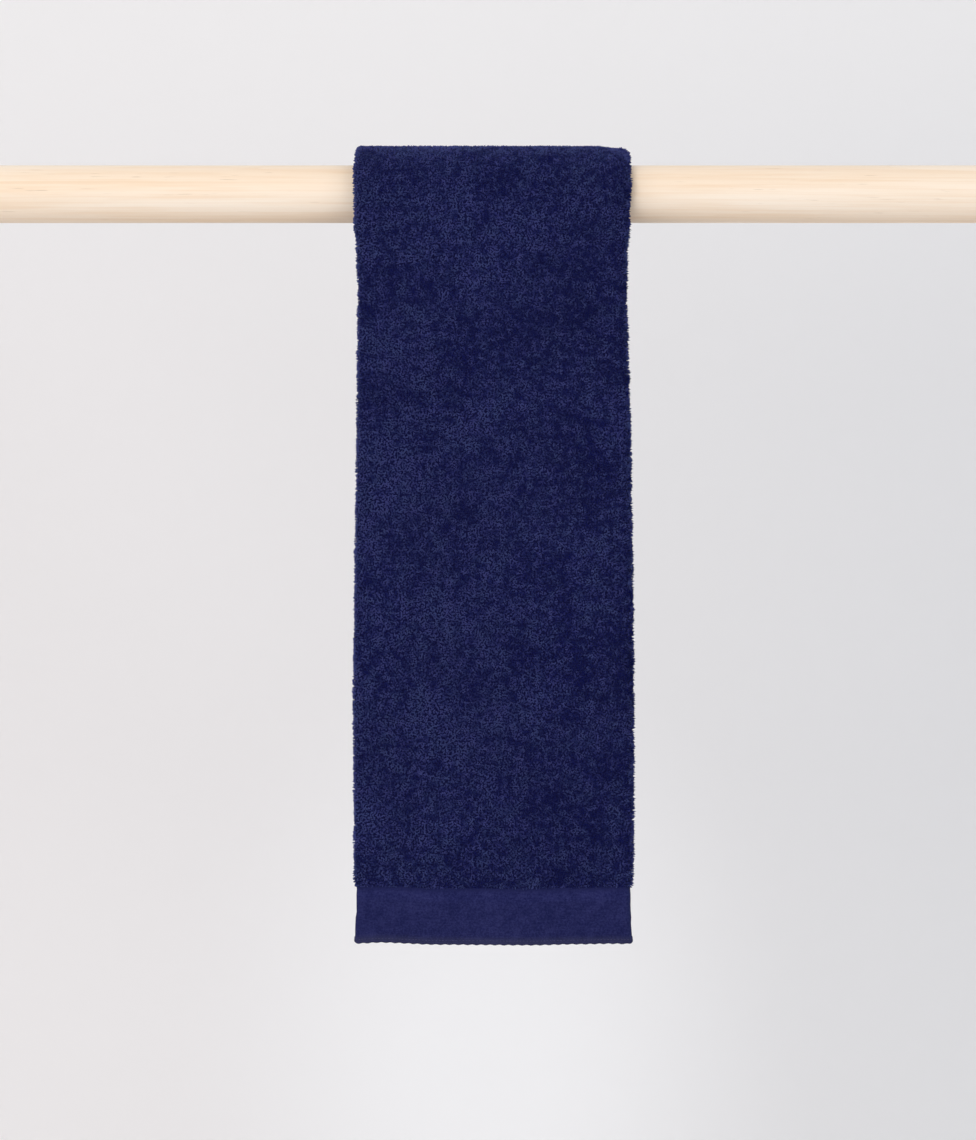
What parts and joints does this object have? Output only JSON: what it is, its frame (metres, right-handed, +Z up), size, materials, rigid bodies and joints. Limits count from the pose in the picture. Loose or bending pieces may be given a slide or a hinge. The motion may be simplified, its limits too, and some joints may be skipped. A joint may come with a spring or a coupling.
{
  "type": "bath towel over a wooden rod",
  "caption": "Terry bath towel folded lengthwise in three and hung over a plain round wooden rod, with a flat woven band at each hem.",
  "frame": {"origin": "centre of the rod's left end face, as seen from the front", "axes": "+X along the rod to its right end, +Z up, -Y towards the viewer, on the side of the longer drop"},
  "size_m": [1, 0.0918, 0.6927],
  "materials": {
    "terry_cotton": "looped cotton pile, matt",
    "pine": "smooth sanded, unvarnished"
  },
  "bodies": {
    "root": {"towel": "terry_cotton", "rod": "pine"}
  },
  "joints": []
}
